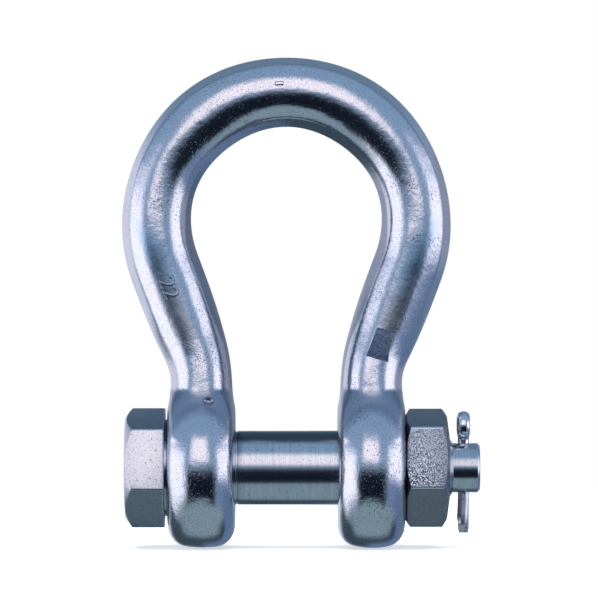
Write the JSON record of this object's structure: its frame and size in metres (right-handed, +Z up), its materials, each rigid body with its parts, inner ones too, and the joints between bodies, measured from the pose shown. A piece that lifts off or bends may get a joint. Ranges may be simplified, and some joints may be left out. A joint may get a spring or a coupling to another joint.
{
  "type": "bow shackle",
  "caption": "Bow shackle with a hexagon-headed bolt through its two eyes, a hexagon nut and a split pin, for joining lifting chain, rope and hooks.",
  "frame": {"origin": "on the axis of the bolt, midway between the two eyes", "axes": "+X along the bolt from its head to its nut, +Z up to the crown of the bow, +Y away from the viewer, at right angles to the plane of the bow"},
  "size_m": [0.1159, 0.052, 0.1591],
  "materials": {
    "polished_forging": "forged stainless steel, barrel-polished bright, with fine pits",
    "turned_steel": "turned stainless steel, fine tool rings, satin hexagon flats",
    "nut_steel": "matte stainless steel, slightly mottled",
    "pin_wire": "bright drawn stainless wire"
  },
  "bodies": {
    "bow": {"bow": "polished_forging"},
    "bolt": {"bolt": "turned_steel"},
    "nut": {"nut": "nut_steel"},
    "split_pin": {"split_pin": "pin_wire"}
  },
  "joints": [
    {"name": "bolt_turn", "type": "hinge", "parent": "bow", "child": "bolt", "pos_m": [0, 0, 0], "axis": [1, 0, 0], "continuous": true},
    {"name": "nut_turn", "type": "hinge", "parent": "bolt", "child": "nut", "pos_m": [0.046, 0, 0], "axis": [1, 0, 0], "range_deg": [0, 380]},
    {"name": "split_pin_pull", "type": "slide", "parent": "bolt", "child": "split_pin", "axis": [0, 0, 1], "range_m": [0, 0.032]}
  ]
}
